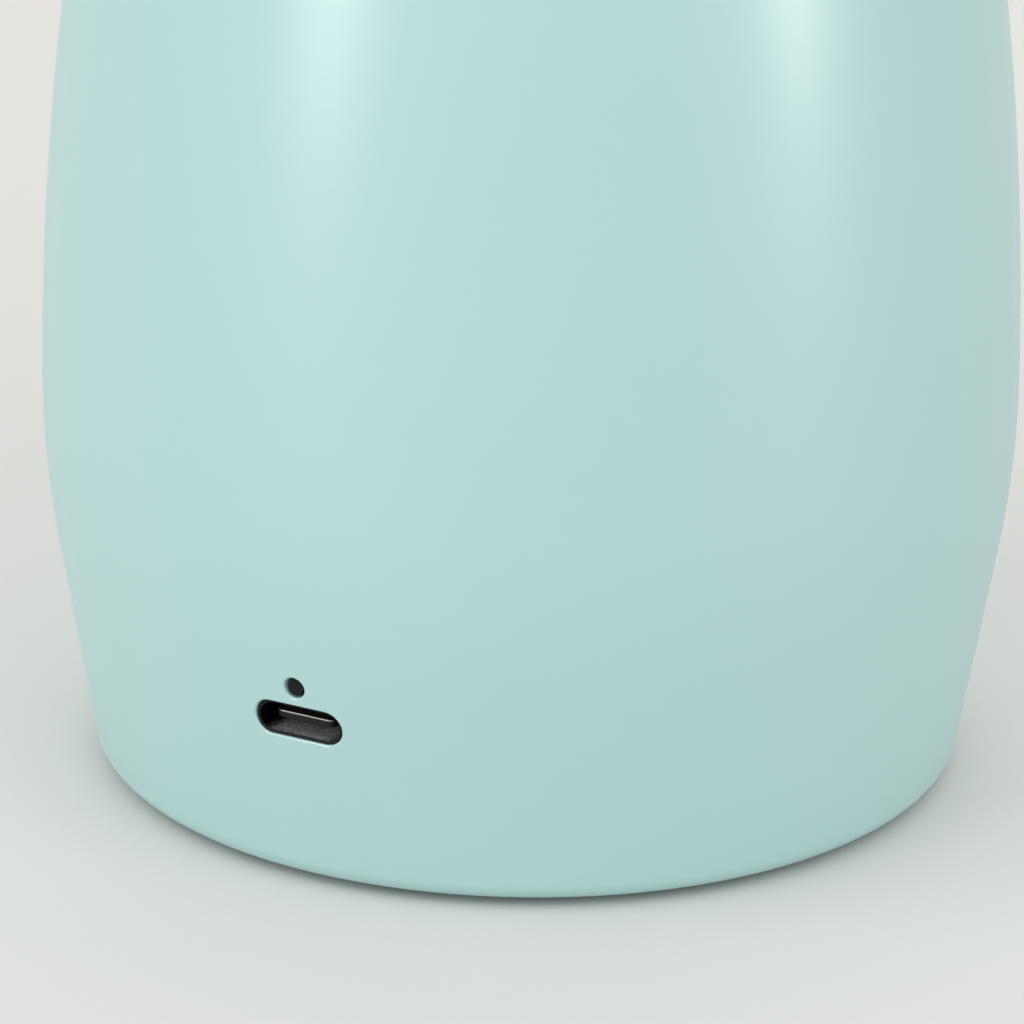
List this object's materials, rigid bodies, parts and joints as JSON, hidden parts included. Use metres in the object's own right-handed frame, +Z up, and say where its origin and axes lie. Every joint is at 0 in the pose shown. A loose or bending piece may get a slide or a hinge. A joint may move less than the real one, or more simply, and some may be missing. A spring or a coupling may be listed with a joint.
{
  "type": "milkshake mixer",
  "caption": "Rechargeable milkshake mixer: barrel-shaped motor base with charging port, screw-on clear jar over a blade and agitator, and screw lid with spout cap and carry loop.",
  "frame": {"origin": "centre of the foot ring's underside, on the spindle's axis", "axes": "+Z up along the spindle, -Y to the front with the power button, +Y to the rear with the charging port"},
  "size_m": [0.092, 0.092, 0.23],
  "materials": {
    "mint_shell": "semi-gloss moulded ABS",
    "mint_cover": "fine-textured moulded ABS",
    "white_trim": "semi-gloss moulded ABS",
    "lid_plastic": "semi-gloss moulded polypropylene",
    "deck_plastic": "satin moulded ABS",
    "jar_clear": "clear copolyester",
    "light_guide": "frosted acrylic",
    "smoked_guide": "smoked polycarbonate",
    "grey_silicone": "soft matt silicone",
    "black_rubber": "nitrile rubber",
    "inner_plastic": "glass-filled nylon",
    "stainless": "bead-blasted stainless steel",
    "screw_steel": "black-zinc-plated steel",
    "plated_steel": "zinc-plated steel",
    "bearing_steel": "ground bearing steel",
    "nickel": "nickel-plated steel",
    "brass": "turned brass",
    "bronze": "sintered bronze",
    "copper": "enamelled and bare copper",
    "core_steel": "laminated silicon steel",
    "ferrite": "sintered ferrite",
    "carbon": "pressed carbon",
    "cell_wrap": "shrink-wrapped cell",
    "board_green": "solder-masked fibreglass",
    "component_black": "moulded epoxy",
    "plunger_grey": "moulded nylon",
    "led_white": "encapsulated light source",
    "lead_red": "PVC insulation",
    "lead_black": "PVC insulation"
  },
  "bodies": {
    "base": {"base_housing": "mint_shell", "bottom_cover": "mint_cover", "foot_ring": "grey_silicone", "bottom_screws": "screw_steel", "cell_cradle": "inner_plastic", "frame_posts": "plated_steel", "battery_cells": "cell_wrap", "cell_tabs": "nickel", "cell_retainer": "inner_plastic", "charge_board": "board_green", "board_parts": "component_black", "usb_shell": "nickel", "usb_tongue": "component_black", "charge_light_pipe": "smoked_guide", "motor_can": "plated_steel", "motor_end_cap": "inner_plastic", "motor_magnets": "ferrite", "motor_bushes": "bronze", "carbon_brushes": "carbon", "motor_terminals": "nickel", "motor_bracket": "plated_steel", "bracket_screws": "screw_steel", "motor_screws": "screw_steel", "deck": "deck_plastic", "deck_gasket": "black_rubber", "bearing_outer_ring": "bearing_steel", "lip_seal": "black_rubber", "button_board": "board_green", "board_screws": "screw_steel", "tact_switch": "component_black", "ring_leds": "led_white", "button_light_ring": "light_guide", "motor_lead_red": "lead_red", "motor_lead_black": "lead_black", "button_harness": "lead_black"},
    "drive": {"motor_shaft": "bearing_steel", "armature_core": "core_steel", "armature_windings": "copper", "commutator": "copper", "shaft_coupler": "brass", "coupler_set_screws": "screw_steel", "spindle": "stainless", "bearing_inner_ring": "bearing_steel", "spindle_sleeves": "stainless", "mixing_blade": "stainless", "agitator_disc": "stainless", "cap_nut": "stainless"},
    "cage": {"bearing_balls": "bearing_steel", "ball_cage": "brass"},
    "button": {"power_button": "white_trim", "switch_plunger": "plunger_grey"},
    "jar_seat": {"jar_seal": "grey_silicone"},
    "jar": {"jar": "jar_clear", "jar_magnets": "nickel"},
    "lid_seat": {"lid_seal": "grey_silicone"},
    "lid": {"lid": "lid_plastic", "hinge_pins": "stainless"},
    "cap": {"spout_cap": "lid_plastic", "cap_plug": "grey_silicone"},
    "loop": {"carry_loop": "lid_plastic"}
  },
  "joints": [
    {"name": "spindle_spin", "type": "hinge", "parent": "base", "child": "drive", "pos_m": [0, 0, 0.0918], "axis": [0, 0, 1], "continuous": true},
    {"name": "cage_spin", "type": "hinge", "parent": "base", "child": "cage", "pos_m": [0, 0, 0.0918], "axis": [0, 0, 1], "continuous": true},
    {"name": "button_press", "type": "slide", "parent": "base", "child": "button", "axis": [0, 1, 0], "range_m": [0, 0.0008], "stiffness_N_per_m": 3000, "springref_m": -0.0002},
    {"name": "jar_rise", "type": "slide", "parent": "base", "child": "jar_seat", "axis": [0, 0, 1], "range_m": [0, 0.03901]},
    {"name": "jar_turn", "type": "hinge", "parent": "jar_seat", "child": "jar", "pos_m": [0, 0, 0.1], "axis": [0, 0, 1], "range_deg": [0, 1170]},
    {"name": "lid_rise", "type": "slide", "parent": "jar", "child": "lid_seat", "axis": [0, 0, 1], "range_m": [0, 0.01351]},
    {"name": "lid_turn", "type": "hinge", "parent": "lid_seat", "child": "lid", "pos_m": [0, 0, 0.205], "axis": [0, 0, 1], "range_deg": [0, 540]},
    {"name": "cap_flip", "type": "hinge", "parent": "lid", "child": "cap", "pos_m": [0, 0.003, 0.224], "axis": [-1, 0, 0], "range_deg": [0, 140]},
    {"name": "loop_swing", "type": "hinge", "parent": "lid", "child": "loop", "pos_m": [0, 0.009, 0.223], "axis": [1, 0, 0], "range_deg": [0, 100]}
  ],
  "couplings": [
    {"joint": "cage_spin", "follows": "spindle_spin", "ratio": 0.39048},
    {"joint": "jar_rise", "follows": "jar_turn", "m_per_rad": 0.0019099},
    {"joint": "lid_rise", "follows": "lid_turn", "m_per_rad": 0.0014324}
  ]
}
